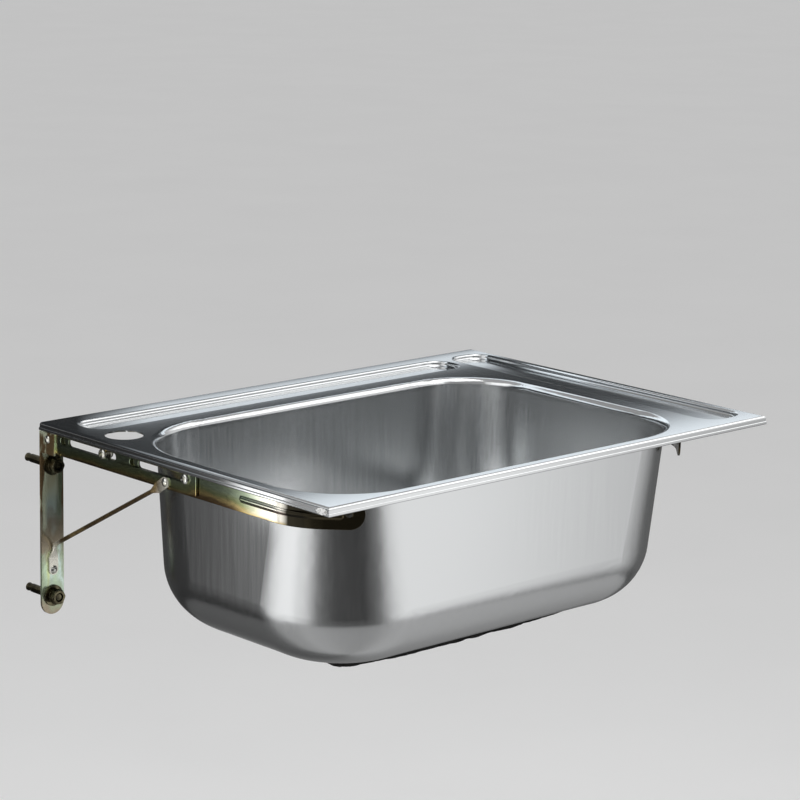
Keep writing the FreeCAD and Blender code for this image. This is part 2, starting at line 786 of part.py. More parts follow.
os.makedirs("parts", exist_ok=True)
for name, bodies in pieces.items():
    shape = bodies[0] if len(bodies) == 1 else Part.makeCompound(bodies)
    shape.exportStep("parts/" + name + ".step")
    solids = shape.Solids
    box = shape.BoundBox
    print(name, len(solids), shape.isValid(), round(sum(s.Volume for s in solids)),
          [round(v, 1) for v in (box.XMin, box.YMin, box.ZMin, box.XMax, box.YMax, box.ZMax)])
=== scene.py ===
import math

import bmesh
import bpy
from mathutils import Matrix, Vector, noise


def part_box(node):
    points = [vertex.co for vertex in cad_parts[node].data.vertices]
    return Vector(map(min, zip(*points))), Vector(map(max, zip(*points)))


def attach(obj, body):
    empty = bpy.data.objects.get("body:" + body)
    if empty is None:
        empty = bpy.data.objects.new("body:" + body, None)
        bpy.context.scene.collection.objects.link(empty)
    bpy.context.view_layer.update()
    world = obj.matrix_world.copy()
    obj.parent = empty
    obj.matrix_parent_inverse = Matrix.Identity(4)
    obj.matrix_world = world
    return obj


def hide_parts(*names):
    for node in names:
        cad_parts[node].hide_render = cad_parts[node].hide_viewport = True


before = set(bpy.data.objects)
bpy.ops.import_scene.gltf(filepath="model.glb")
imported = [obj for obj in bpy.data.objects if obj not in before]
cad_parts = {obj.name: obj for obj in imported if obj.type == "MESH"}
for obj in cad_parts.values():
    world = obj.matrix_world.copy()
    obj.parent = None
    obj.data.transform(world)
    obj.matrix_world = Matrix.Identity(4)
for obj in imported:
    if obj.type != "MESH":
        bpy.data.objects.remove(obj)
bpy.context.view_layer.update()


# Wall plates: two upright strips of 2.5 mm steel, each with a rounded foot and an ear bent out at the top.
# They are pressed, zinc plated and yellow passivated, so a thin film shifts from brown to gold, green and
# teal. Darker brown bands up the strips are painted shade, and on their upper part the sides carry a
# painted shade and a painted highlight. Each is held by two anchors.

def new_finish(name, metallic):
    """A material with its shader, ready for the patterns that follow."""
    finish = bpy.data.materials.new(name)
    finish.use_nodes = True
    finish.node_tree.nodes["Principled BSDF"].inputs["Metallic"].default_value = metallic
    return finish


def grain(finish, stretch, detail=4.0, distortion=0.0):
    """Noise on the piece's own coordinates; stretch gives the patches per metre along x, y and z."""
    nodes, links = finish.node_tree.nodes, finish.node_tree.links
    place = nodes.new("ShaderNodeTexCoord")
    mapping = nodes.new("ShaderNodeMapping")
    mapping.inputs["Scale"].default_value = stretch
    texture = nodes.new("ShaderNodeTexNoise")
    texture.inputs["Scale"].default_value = 1.0
    texture.inputs["Detail"].default_value = detail
    texture.inputs["Distortion"].default_value = distortion
    links.new(place.outputs["Object"], mapping.inputs["Vector"])
    links.new(mapping.outputs["Vector"], texture.inputs["Vector"])
    return texture.outputs["Fac"]


def ramp(finish, value, stops):
    """Colours at their places along a value from 0 to 1."""
    node = finish.node_tree.nodes.new("ShaderNodeValToRGB")
    band = node.color_ramp
    while len(band.elements) < len(stops):
        band.elements.new(0.5)
    for element, (place, colour) in zip(band.elements, stops):
        element.position = place
        element.color = (*colour, 1.0)
    finish.node_tree.links.new(value, node.inputs["Fac"])
    return node.outputs["Color"]


def along(finish, axis, start, end):
    """How far a point lies along an axis of the piece, from 0 at the start to 1 at the end."""
    nodes, links = finish.node_tree.nodes, finish.node_tree.links
    place = nodes.new("ShaderNodeTexCoord")
    split = nodes.new("ShaderNodeSeparateXYZ")
    span = nodes.new("ShaderNodeMapRange")
    span.inputs["From Min"].default_value = start
    span.inputs["From Max"].default_value = end
    links.new(place.outputs["Object"], split.inputs["Vector"])
    links.new(split.outputs[axis], span.inputs["Value"])
    return span.outputs["Result"]


def swayed(finish, value, pattern, amount):
    """A graded value that a pattern pushes to and fro by up to half the amount."""
    links = finish.node_tree.links
    push = finish.node_tree.nodes.new("ShaderNodeMath")
    push.operation = "MULTIPLY_ADD"
    push.inputs[1].default_value = amount
    push.inputs[2].default_value = -amount / 2
    total = finish.node_tree.nodes.new("ShaderNodeMath")
    links.new(pattern, push.inputs[0])
    links.new(push.outputs["Value"], total.inputs[0])
    links.new(value, total.inputs[1])
    return total.outputs["Value"]


def mixed(finish, share, first, second):
    """Goes from the first colour to the second as the share goes from 0 to 1; a colour may be plain."""
    node = finish.node_tree.nodes.new("ShaderNodeMix")
    node.data_type = "RGBA"
    finish.node_tree.links.new(share, node.inputs["Factor"])
    for socket, colour in ((node.inputs["A"], first), (node.inputs["B"], second)):
        if isinstance(colour, bpy.types.NodeSocket):
            finish.node_tree.links.new(colour, socket)
        else:
            socket.default_value = (*colour, 1.0)
    return node.outputs["Result"]


def colour_by(finish, colour):
    """Links a colour to the finish."""
    shader = finish.node_tree.nodes["Principled BSDF"]
    finish.node_tree.links.new(colour, shader.inputs["Base Color"])


def roughness_by(finish, value, least, most):
    """Roughness that follows a pattern between two limits."""
    node = finish.node_tree.nodes.new("ShaderNodeMapRange")
    node.inputs["From Min"].default_value = grain_low
    node.inputs["From Max"].default_value = grain_high
    node.inputs["To Min"].default_value = least
    node.inputs["To Max"].default_value = most
    finish.node_tree.links.new(value, node.inputs["Value"])
    shader = finish.node_tree.nodes["Principled BSDF"]
    finish.node_tree.links.new(node.outputs["Result"], shader.inputs["Roughness"])


def relief_by(finish, value, height, strength):
    """Bump from a pattern, its height in metres."""
    node = finish.node_tree.nodes.new("ShaderNodeBump")
    node.inputs["Distance"].default_value = height
    node.inputs["Strength"].default_value = strength
    finish.node_tree.links.new(value, node.inputs["Height"])
    shader = finish.node_tree.nodes["Principled BSDF"]
    finish.node_tree.links.new(node.outputs["Normal"], shader.inputs["Normal"])


def dress(finish, *names):
    """Gives carried-over nodes their finish."""
    for name in names:
        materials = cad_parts[name].data.materials
        materials.clear()
        materials.append(finish)


def ease_edges(width, *names):
    """Breaks the sharp sheared edges of carried-over nodes, as tumbling and plating do."""
    for name in names:
        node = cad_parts[name]
        weld = node.modifiers.new("weld", "WELD")
        weld.merge_threshold = seam_width
        bevel = node.modifiers.new("eased_edges", "BEVEL")
        bevel.limit_method = "ANGLE"
        bevel.angle_limit = sharp_angle
        bevel.width = width
        bevel.segments = 2
        flatten = node.modifiers.new("flat_faces", "WEIGHTED_NORMAL")
        flatten.keep_sharp = True


grain_low, grain_high = 0.3, 0.7
seam_width = 1e-6
sharp_angle = math.radians(40)
no_share, full_share = (0, 0, 0), (1, 1, 1)
film_brown = (0.24, 0.16, 0.08)
film_olive = (0.35, 0.38, 0.18)
film_green = (0.36, 0.43, 0.30)
film_pale = (0.76, 0.82, 0.62)
film_teal = (0.60, 0.72, 0.66)
film_gold = (0.58, 0.45, 0.20)
# Rose is the film's own tint on the arms, and also the painted darker line along the bead.
film_rose_and_bead_shade = (0.54, 0.37, 0.31)
# A brown that is painted shade in bands up the plates.
plate_painted_shade = (0.34, 0.29, 0.21)
film_mint = (0.54, 0.68, 0.49)
film_lime = (0.66, 0.74, 0.38)
# Painted shade and painted highlight for the plates' sides.
painted_edge_shade = (0.24, 0.28, 0.18)
painted_edge_highlight = (0.92, 0.98, 0.72)
plate_edge = 0.0004
plate_low, plate_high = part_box("left_wall_plate")
plate_middle = -(plate_low.x + plate_high.x) / 2
plate_half = (plate_high.x - plate_low.x) / 2

plate_film = new_finish("plate_film", 0.75)
plate_nodes, plate_links = plate_film.node_tree.nodes, plate_film.node_tree.links
plate_place = plate_nodes.new("ShaderNodeTexCoord")
aside = plate_nodes.new("ShaderNodeSeparateXYZ")
outward = plate_nodes.new("ShaderNodeMath")
outward.operation = "ABSOLUTE"
off_middle = plate_nodes.new("ShaderNodeMath")
off_middle.operation = "SUBTRACT"
off_middle.inputs[1].default_value = plate_middle
plate_links.new(plate_place.outputs["Object"], aside.inputs["Vector"])
plate_links.new(aside.outputs["X"], outward.inputs[0])
plate_links.new(outward.outputs["Value"], off_middle.inputs[0])
across = plate_nodes.new("ShaderNodeMapRange")
across.inputs["From Min"].default_value = -plate_half
across.inputs["From Max"].default_value = plate_half
plate_links.new(off_middle.outputs["Value"], across.inputs["Value"])
plate_tint = swayed(plate_film, across.outputs["Result"], grain(plate_film, (70, 70, 24), 3.0, 0.5), 0.7)
plate_height = swayed(plate_film, along(plate_film, "Z", plate_low.z, plate_high.z),
                      grain(plate_film, (70, 70, 40), 2.0, 0.5), 0.3)
# The strip's hues up its height are the film's; the darker brown bands among them are painted shade.
strip_film_and_shade = ramp(plate_film, plate_height,
                    ((0.02, plate_painted_shade), (0.12, film_green), (0.24, film_green), (0.37, plate_painted_shade),
                     (0.46, plate_painted_shade), (0.58, film_teal), (0.72, film_pale), (0.86, film_gold),
                     (0.94, film_brown)))
foot_colour = ramp(plate_film, plate_tint,
                   ((0.0, film_green), (0.12, film_teal), (0.36, film_mint), (0.56, film_teal),
                    (0.72, film_lime), (0.88, film_mint), (1.0, film_green)))
foot_share = ramp(plate_film, plate_height,
                  ((0.12, no_share), (0.20, full_share), (0.29, full_share), (0.37, no_share)))
lower_colour = mixed(plate_film, foot_share, strip_film_and_shade, foot_colour)
# On the upper part, one side of the strip gets a painted shade and the other a painted highlight, each with a
# thin brown line at the very edge.
edge_shade_and_highlight = ramp(plate_film, plate_tint,
                   ((0.0, film_brown), (0.06, painted_edge_shade), (0.40, painted_edge_shade), (0.60, painted_edge_highlight),
                    (0.94, painted_edge_highlight), (1.0, film_brown)))
edge_light_share = ramp(plate_film, plate_tint,
                  ((0.16, full_share), (0.36, no_share), (0.66, no_share), (0.86, full_share)))
upper_light_share = ramp(plate_film, plate_height, ((0.42, no_share), (0.58, full_share)))
upper_film_and_light = mixed(plate_film, edge_light_share, strip_film_and_shade, edge_shade_and_highlight)
colour_by(plate_film, mixed(plate_film, upper_light_share, lower_colour, upper_film_and_light))
roughness_by(plate_film, grain(plate_film, (900, 900, 300)), 0.16, 0.26)
relief_by(plate_film, grain(plate_film, (1400, 1400, 1400)), 0.00001, 0.2)
dress(plate_film, "left_wall_plate", "right_wall_plate")
ease_edges(plate_edge, "left_wall_plate", "right_wall_plate")


# Wall anchors: 8 mm wedge anchors in dark zinc plated steel, one through each hole of the plates.
# Each has a rolled thread, a clip and cone that spread in the drilled hole, and in front a flat washer,
# a split spring washer and a hexagon nut that clamp the plate.

def add_piece(name, bm, finish, body, nodes=(), sharp=35):
    """Makes a finished bmesh a piece that rides on a body and stands for these nodes."""
    if bm.calc_volume(signed=True) < 0:
        bmesh.ops.reverse_faces(bm, faces=bm.faces)
    mesh = bpy.data.meshes.new(name)
    bm.to_mesh(mesh)
    bm.free()
    mesh.materials.append(finish)
    mesh.shade_smooth()
    mesh.set_sharp_from_angle(angle=math.radians(sharp))
    piece = bpy.data.objects.new(name, mesh)
    bpy.context.scene.collection.objects.link(piece)
    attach(piece, body)
    if nodes:
        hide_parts(*nodes)


def circle_loop(bm, radius, height, count):
    """Edges of a level circle about the z axis."""
    made = bmesh.ops.create_circle(bm, segments=count, radius=radius,
                                   matrix=Matrix.Translation((0, 0, height)))
    return list(dict.fromkeys(edge for vert in made["verts"] for edge in vert.link_edges))


def join_loops(bm, loops):
    """Skins a stack of loops, each to the next."""
    for low, high in zip(loops, loops[1:]):
        bmesh.ops.bridge_loops(bm, edges=low + high)


def screw_thread(root, crest, pitch, length, chamfer, turn_steps=24):
    """A rolled thread about the z axis from height 0, its free end chamfered, both ends closed."""
    bm = bmesh.new()
    ridge = [bm.verts.new(point) for point in ((root, 0, -pitch), (crest, 0, -pitch / 2), (root, 0, 0))]
    edges = [bm.edges.new(pair) for pair in zip(ridge, ridge[1:])]
    turns = math.ceil(length / pitch) + 2
    bmesh.ops.spin(bm, geom=ridge + edges, cent=(0, 0, 0), axis=(0, 0, 1), dvec=(0, 0, pitch / turn_steps),
                   angle=2 * math.pi * turns, steps=turn_steps * turns, use_merge=False)
    too_close = pitch / 100
    bmesh.ops.remove_doubles(bm, verts=bm.verts, dist=too_close)
    for height, out in ((0, -1), (length, 1)):
        bmesh.ops.bisect_plane(bm, geom=bm.verts[:] + bm.edges[:] + bm.faces[:],
                               plane_co=(0, 0, height), plane_no=(0, 0, out), clear_outer=True)
    bmesh.ops.dissolve_degenerate(bm, dist=too_close, edges=bm.edges)
    bmesh.ops.holes_fill(bm, edges=[edge for edge in bm.edges if edge.is_boundary], sides=0)
    for vert in bm.verts:
        reach = vert.co.xy.length
        limit = crest - max(0.0, chamfer - vert.co.z)
        if reach > limit:
            vert.co.xy *= limit / reach
    bmesh.ops.recalc_face_normals(bm, faces=bm.faces)
    return bm


def copies(part, matrices):
    """One bmesh holding a placed copy of a shape for each matrix."""
    whole = bmesh.new()
    mesh = bpy.data.meshes.new("copy")
    part.to_mesh(mesh)
    part.free()
    for matrix in matrices:
        held = set(whole.verts)
        whole.from_mesh(mesh)
        bmesh.ops.transform(whole, matrix=matrix, verts=[v for v in whole.verts if v not in held])
    bpy.data.meshes.remove(mesh)
    return whole


stud_radius = 0.004
stud_pitch = 0.00125
stud_root = 0.0032
stud_crest = 0.0037
stud_chamfer = 0.0008
stud_segments = 32
neck_radius = 0.003
anchor_edge = 0.00025
stud_low, stud_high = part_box("anchor_bolts")
clip_low, clip_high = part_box("anchor_clips")
anchor_places = [(x, z) for x in (stud_low.x + stud_radius, stud_high.x - stud_radius)
                 for z in (stud_low.z + stud_radius, stud_high.z - stud_radius)]
to_back = Matrix.Rotation(math.radians(-90), 4, "X")

anchor_zinc = new_finish("anchor_zinc", 1.0)
colour_by(anchor_zinc, ramp(anchor_zinc, grain(anchor_zinc, (160, 160, 160), 3.0),
                            ((0.3, (0.03, 0.027, 0.018)), (0.5, (0.09, 0.08, 0.05)),
                             (0.7, (0.20, 0.18, 0.11)))))
roughness_by(anchor_zinc, grain(anchor_zinc, (1200, 1200, 1200)), 0.16, 0.30)
relief_by(anchor_zinc, grain(anchor_zinc, (1800, 1800, 1800)), 0.00003, 0.4)


def at_anchors(depth):
    """Places on the anchors' axes, z axis to the back, at a depth from the plates' backs."""
    return [Matrix.Translation((x, depth, z)) @ to_back for x, z in anchor_places]


studs = screw_thread(stud_root, stud_crest, stud_pitch, -stud_low.y, stud_chamfer)
add_piece("anchor_studs", copies(studs, at_anchors(stud_low.y)), anchor_zinc, "brackets")

shank = bmesh.new()
shank_loops = [circle_loop(shank, radius, height, stud_segments) for radius, height in (
    (stud_radius, 0), (stud_radius, clip_low.y), (neck_radius, clip_low.y), (neck_radius, clip_high.y),
    (stud_radius, stud_high.y))]
join_loops(shank, shank_loops)
bmesh.ops.edgeloop_fill(shank, edges=shank_loops[0])
bmesh.ops.edgeloop_fill(shank, edges=shank_loops[-1])
bmesh.ops.recalc_face_normals(shank, faces=shank.faces)
add_piece("anchor_shanks", copies(shank, at_anchors(0)), anchor_zinc, "brackets",
          ["anchor_bolts"])

spring_low, spring_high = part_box("anchor_spring_washers")
spring_outer = stud_low.x + stud_radius - spring_low.x
spring_bore = 0.0042
spring_height = spring_high.y - spring_low.y
spring_rise = 0.0003
spring_split = math.radians(9)
spring_steps = 48
spring_edge = 0.0002
square_angle = 1.0
coil_height = spring_height - spring_rise
spring = bmesh.new()
section = [spring.verts.new(point) for point in (
    (spring_bore, 0, 0), (spring_outer, 0, 0), (spring_outer, 0, coil_height), (spring_bore, 0, coil_height))]
section_edges = [spring.edges.new(pair) for pair in zip(section, section[1:] + section[:1])]
bmesh.ops.spin(spring, geom=section + section_edges, cent=(0, 0, 0), axis=(0, 0, 1),
               dvec=(0, 0, spring_rise / spring_steps), angle=2 * math.pi - spring_split,
               steps=spring_steps, use_merge=False)
bmesh.ops.holes_fill(spring, edges=spring.edges, sides=4)
bmesh.ops.recalc_face_normals(spring, faces=spring.faces)
bmesh.ops.bevel(spring, geom=[edge for edge in spring.edges if edge.calc_face_angle(0) > square_angle],
                offset=spring_edge, affect="EDGES", segments=2, profile=0.5, material=-1)
add_piece("anchor_split_washers", copies(spring, at_anchors(spring_low.y)), anchor_zinc, "brackets",
          ["anchor_spring_washers"])
dress(anchor_zinc, "anchor_nuts", "anchor_washers", "anchor_clips")
ease_edges(anchor_edge, "anchor_nuts", "anchor_washers")


# Bracket arms: a slotted rear arm riveted to the ear, and inside it a slotted front arm that is bent across
# the bowl's corner, stiffened by a pressed bead and ended in a rounded tab. They are plated like the plates,
# and their sheared edges are dark umber. Before the bend the colour is lightened into a painted highlight,
# with a painted darker rose line along the bead, and past the bend the tab is painted dark as shade.

arm_film = new_finish("arm_film", 1.0)
arm_low, arm_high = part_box("left_front_arm")
# Where the painted highlight runs along the arm; the tab's painted shade begins at its end.
arm_highlight_from = -0.262
arm_highlight_to = -0.334
# Colours of the arm's painted highlight and of the tab's painted shade.
painted_arm_highlight = (0.92, 0.88, 0.78)
painted_tab_shade = (0.025, 0.022, 0.015)
umber_and_tab_shade = (0.09, 0.075, 0.045)
arm_tint = swayed(arm_film, along(arm_film, "Z", arm_low.z, arm_high.z),
                  grain(arm_film, (22, 16, 40), 2.0, 0.4), 0.7)
arm_colour = ramp(arm_film, arm_tint,
                  ((0.0, film_brown), (0.09, film_gold), (0.22, film_olive), (0.46, film_green),
                   (0.66, film_green), (0.80, film_gold), (0.88, film_rose_and_bead_shade), (0.96, film_olive)))
# Painted highlight before the bend, in bands up the arm with a painted darker rose line along the bead.
highlight_reach = swayed(arm_film, along(arm_film, "Y", arm_highlight_from, arm_highlight_to),
                   grain(arm_film, (9, 9, 120), 2.0), 0.5)
highlight_share = ramp(arm_film, highlight_reach, ((0.35, no_share), (0.95, full_share)))
painted_highlight_bands = ramp(arm_film, along(arm_film, "Z", arm_low.z, arm_high.z),
                    ((0.0, film_gold), (0.12, painted_arm_highlight), (0.28, painted_arm_highlight), (0.36, film_rose_and_bead_shade),
                     (0.44, painted_arm_highlight), (1.0, painted_arm_highlight)))
arm_colour = mixed(arm_film, highlight_share, arm_colour, painted_highlight_bands)
# Past the bend the tab is painted dark, as shade: near black by the bend and umber towards the tip.
tab_shade_share = ramp(arm_film, along(arm_film, "Y", arm_highlight_to, arm_low.y),
                 ((0.0, no_share), (0.12, full_share)))
painted_dark_tab = ramp(arm_film, along(arm_film, "Y", arm_highlight_to, arm_low.y),
                ((0.35, painted_tab_shade), (0.55, umber_and_tab_shade)))
arm_colour = mixed(arm_film, tab_shade_share, arm_colour, painted_dark_tab)
arm_nodes, arm_links = arm_film.node_tree.nodes, arm_film.node_tree.links
facing = arm_nodes.new("ShaderNodeNewGeometry")
facing_split = arm_nodes.new("ShaderNodeSeparateXYZ")
sideways = arm_nodes.new("ShaderNodeMath")
sideways.operation = "ABSOLUTE"
arm_links.new(facing.outputs["Normal"], facing_split.inputs["Vector"])
arm_links.new(facing_split.outputs["X"], sideways.inputs[0])
cut_share = ramp(arm_film, sideways.outputs["Value"], ((0.3, full_share), (0.5, no_share)))
colour_by(arm_film, mixed(arm_film, cut_share, arm_colour, umber_and_tab_shade))
roughness_by(arm_film, grain(arm_film, (500, 160, 900)), 0.13, 0.22)
relief_by(arm_film, grain(arm_film, (1400, 1400, 1400)), 0.00001, 0.2)
arms = ("left_rear_arm", "right_rear_arm", "left_front_arm", "right_front_arm")
dress(arm_film, *arms)
ease_edges(plate_edge, *arms)


# Tie rods: 4 mm steel wire, its ends hammered flat and riveted to the plate's foot and the rear arm.
# The wire is a dark brown gold and its flattened ends pale. The rivets are bright zinc plated, with domed
# heads.

rod_film = new_finish("rod_film", 0.6)
rod_low, rod_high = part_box("left_tie_rod")
rod_flat = 0.09
flat_end_colour = (0.90, 0.88, 0.78)
rivet_edge = 0.0001
rod_colour = ramp(rod_film, grain(rod_film, (40, 40, 40), 3.0),
                  ((0.3, (0.06, 0.04, 0.02)), (0.5, (0.12, 0.08, 0.035)), (0.7, (0.22, 0.16, 0.07))))
hammered = ramp(rod_film, along(rod_film, "Y", rod_high.y, rod_low.y),
                ((0.0, full_share), (rod_flat, no_share), (1 - rod_flat, no_share), (1.0, full_share)))
colour_by(rod_film, mixed(rod_film, hammered, rod_colour, flat_end_colour))
roughness_by(rod_film, grain(rod_film, (200, 200, 200)), 0.22, 0.30)
dress(rod_film, "left_tie_rod", "right_tie_rod")

bright_zinc = new_finish("bright_zinc", 1.0)
colour_by(bright_zinc, ramp(bright_zinc, grain(bright_zinc, (200, 200, 200), 3.0),
                            ((0.3, (0.55, 0.53, 0.44)), (0.6, (0.74, 0.74, 0.70)))))
roughness_by(bright_zinc, grain(bright_zinc, (1500, 1500, 1500)), 0.08, 0.16)
dress(bright_zinc, "ear_rivets", "tie_rod_rivets")
ease_edges(rivet_edge, "ear_rivets", "tie_rod_rivets")


# Adjuster screws: four 5 mm pan-head screws with a cross recess, which clamp the two arms of a bracket
# through their slots, each against a washer and a nut on the inside.

pan_radius = 0.0048
pan_height = 0.0028
pan_segments = 24
cross_half = 0.0006
cross_reach = 0.0026
cross_depth = 0.0018
cross_taper = 0.55
screw_root = 0.0020
screw_crest = 0.0025
screw_pitch = 0.0008
screw_length = 0.0102
screw_chamfer = 0.0004
fastener_edge = 0.0002
pan = bmesh.new()
dome = [circle_loop(pan, pan_radius * share, pan_height * rise, pan_segments)
        for share, rise in ((1.0, 0.0), (1.0, 0.36), (0.95, 0.60), (0.82, 0.82), (0.64, 0.95))]
join_loops(pan, dome)
bmesh.ops.edgeloop_fill(pan, edges=dome[0])
cross_arm = ((cross_reach, -cross_half), (cross_reach, cross_half), (cross_half, cross_half))
mouth = []
for quarter in range(4):
    turn = Matrix.Rotation(math.radians(90 * quarter), 3, "Z")
    mouth += [pan.verts.new(turn @ Vector((x, y, pan_height))) for x, y in cross_arm]
mouth_face = pan.faces.new(mouth)
bmesh.ops.subdivide_edges(pan, edges=list(mouth_face.edges), cuts=1)
bmesh.ops.bridge_loops(pan, edges=dome[-1] + list(mouth_face.edges))
pit = bmesh.ops.extrude_discrete_faces(pan, faces=[mouth_face])["faces"][0]
for vert in pit.verts:
    vert.co = Vector((vert.co.x * cross_taper, vert.co.y * cross_taper, pan_height - cross_depth))
bmesh.ops.recalc_face_normals(pan, faces=pan.faces)
screw_low, screw_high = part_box("adjuster_screws")
arm_face = screw_low.x + pan_height
screw_spots = [(y, (screw_low.z + screw_high.z) / 2)
               for y in (screw_low.y + pan_radius, screw_high.y - pan_radius)]
head_turns = {(-1, 0): 20, (-1, 1): 55, (1, 0): 75, (1, 1): 5}


def at_screws(depth):
    """Places on both brackets, z axis out of the bracket, from a depth under the arm's outer face."""
    places = []
    for side in (-1, 1):
        facing_out = Matrix.Rotation(math.radians(90 * side), 4, "Y")
        for index, (y, z) in enumerate(screw_spots):
            spin = Matrix.Rotation(math.radians(head_turns[side, index]), 4, "Z")
            places.append(Matrix.Translation((-side * (arm_face + depth), y, z)) @ facing_out @ spin)
    return places


add_piece("adjuster_screw_heads", copies(pan, at_screws(0)), bright_zinc, "brackets")
screw_shank = screw_thread(screw_root, screw_crest, screw_pitch, screw_length, screw_chamfer)
add_piece("adjuster_screw_threads", copies(screw_shank, at_screws(screw_length)), bright_zinc, "brackets",
          ["adjuster_screws"])
dress(bright_zinc, "adjuster_washers", "adjuster_nuts")
ease_edges(fastener_edge, "adjuster_washers", "adjuster_nuts")


# Basin: one sheet of 1 mm stainless steel, deep drawn into the bowl, pressed for the two recesses and
# folded down all round into an apron with a rolled hem. Drawing leaves fine upright streaks on the walls,
# and the deck is brushed along its length and shinier. It lies loose on the arms.

sheet_low, sheet_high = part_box("basin")
deck_from = sheet_high.z - 0.010
deck_full = sheet_high.z - 0.005
deck_roughness = (0.13,) * 3
steel_sheet = new_finish("steel_sheet", 1.0)
draw_lines = grain(steel_sheet, (420, 420, 9), 3.0)
deck_lines = grain(steel_sheet, (9, 700, 700), 3.0)
colour_by(steel_sheet, ramp(steel_sheet, draw_lines,
                            ((0.3, (0.62, 0.63, 0.635)), (0.7, (0.64, 0.65, 0.655)))))
deck_share = along(steel_sheet, "Z", deck_from, deck_full)
wall_sheen = ramp(steel_sheet, draw_lines, ((0.3, (0.20,) * 3), (0.7, (0.24,) * 3)))
steel_sheet.node_tree.links.new(mixed(steel_sheet, deck_share, wall_sheen, deck_roughness),
                                steel_sheet.node_tree.nodes["Principled BSDF"].inputs["Roughness"])
relief_by(steel_sheet, deck_lines, 0.00001, 0.1)
dress(steel_sheet, "basin")


# Corner weld: the mitre of the apron's hem is closed with a short weld at the front left corner. It is left
# as laid, so a rough bead stands a little out of the left side; the white in its colour is painted glints.

weld_metal = new_finish("weld_metal", 0.2)
weld_ripples_and_glints = grain(weld_metal, (900, 700, 900), 3.0)
# Grey metal in the ripples, with white that is painted glints.
colour_by(weld_metal, ramp(weld_metal, weld_ripples_and_glints,
                           ((0.35, (0.35, 0.34, 0.32)), (0.5, (0.94, 0.94, 0.93)))))
roughness_by(weld_metal, weld_ripples_and_glints, 0.4, 0.6)
relief_by(weld_metal, weld_ripples_and_glints, 0.0004, 1.0)
weld_size = Vector((0.0011, 0.0085, 0.0034))
weld_lumps = 0.22
weld_lump_scale = 3.5
weld_depth = 0.0002
weld_inset = 0.0006
hem_middle = sheet_high.z - 0.0044
weld = bmesh.new()
bmesh.ops.create_uvsphere(weld, u_segments=32, v_segments=20, radius=1)
weld_place = Vector((sheet_low.x + weld_depth, sheet_low.y + weld_size.y + weld_inset, hem_middle))
for vert in weld.verts:
    vert.co *= 1 - weld_lumps + weld_lumps * noise.noise(vert.co * weld_lump_scale)
    vert.co = weld_place + vert.co * weld_size
add_piece("corner_weld", weld, weld_metal, "basin", sharp=60)


# Sound-deadening pad: a black bitumen sheet, 5 mm thick, glued under the bowl's floor round the waste.
# It is laid on warm, so its edge is uneven and its front edge sags a little.

pad_black = new_finish("pad_black", 0.0)
colour_by(pad_black, ramp(pad_black, grain(pad_black, (220, 220, 220)),
                          ((0.3, (0.004, 0.004, 0.004)), (0.7, (0.016, 0.015, 0.014)))))
pad_black.node_tree.nodes["Principled BSDF"].inputs["Specular IOR Level"].default_value = 0.15
roughness_by(pad_black, grain(pad_black, (300, 300, 300)), 0.6, 0.85)
relief_by(pad_black, grain(pad_black, (500, 500, 500)), 0.0006, 0.8)
pad_low, pad_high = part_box("sound_deadening_pad")
waste_low, waste_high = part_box("waste_washer")
pad_middle = (pad_low + pad_high) / 2
waste_middle = (waste_low + waste_high) / 2
pad_hole_gap = 0.004
pad_hole = (waste_high.x - waste_low.x) / 2 + pad_hole_gap
pad_rough = 0.002
pad_rough_scale = 90
pad_sag = 0.0068
pad_front = 0.045
pad_lumps = 0.18
pad_lump_scale = 45
pad_grit = 0.0006
pad_grit_scale = 150
pad_cells = 40
pad_seed = 3
noise.seed_set(pad_seed)
pad = bmesh.new()
pad_place = Matrix.Translation(pad_middle) @ Matrix.Diagonal(((pad_high - pad_low) / 2).to_4d())
bmesh.ops.create_grid(pad, x_segments=pad_cells * 2, y_segments=pad_cells, size=1, matrix=pad_place)
over_waste = [face for face in pad.faces
              if (face.calc_center_median().xy - waste_middle.xy).length < pad_hole]
bmesh.ops.delete(pad, geom=over_waste, context="FACES")
for vert in pad.verts:
    vert.co.z = pad_high.z
    if vert.is_boundary:
        wander = noise.noise_vector(vert.co * pad_rough_scale) * pad_rough
        vert.co.xy += wander.xy
        vert.co.x = min(max(vert.co.x, pad_low.x), pad_high.x)
        vert.co.y = min(max(vert.co.y, pad_low.y), pad_high.y)
skin = bmesh.ops.extrude_face_region(pad, geom=pad.faces[:])["geom"]
for vert in (item for item in skin if isinstance(item, bmesh.types.BMVert)):
    near_front = max(0.0, 1 - (vert.co.y - pad_low.y) / pad_front)
    span = 1 - ((vert.co.x - pad_middle.x) / (pad_high.x - pad_middle.x)) ** 2
    lump = 1 + pad_lumps * noise.noise(vert.co * pad_lump_scale)
    grit = pad_grit * noise.noise(vert.co * pad_grit_scale)
    vert.co.z = pad_low.z - pad_sag * near_front * max(0.0, span) ** 0.5 * lump - grit
bmesh.ops.recalc_face_normals(pad, faces=pad.faces)
add_piece("bitumen_pad", pad, pad_black, "basin", ["sound_deadening_pad"])


# Waste fitting: a pressed steel body through the floor, sealed by a rubber gasket under its flange and
# drawn up from below by a moulded washer and locknut. A steel basket with a knob and a rubber stopper
# lies loose in it.

steel_fitting = new_finish("steel_fitting", 1.0)
turned_rings = grain(steel_fitting, (240, 240, 900), 3.0)
colour_by(steel_fitting, ramp(steel_fitting, turned_rings,
                              ((0.3, (0.62, 0.625, 0.63)), (0.7, (0.72, 0.725, 0.73)))))
roughness_by(steel_fitting, turned_rings, 0.12, 0.22)
dress(steel_fitting, "waste_body", "strainer_basket", "basket_knob")

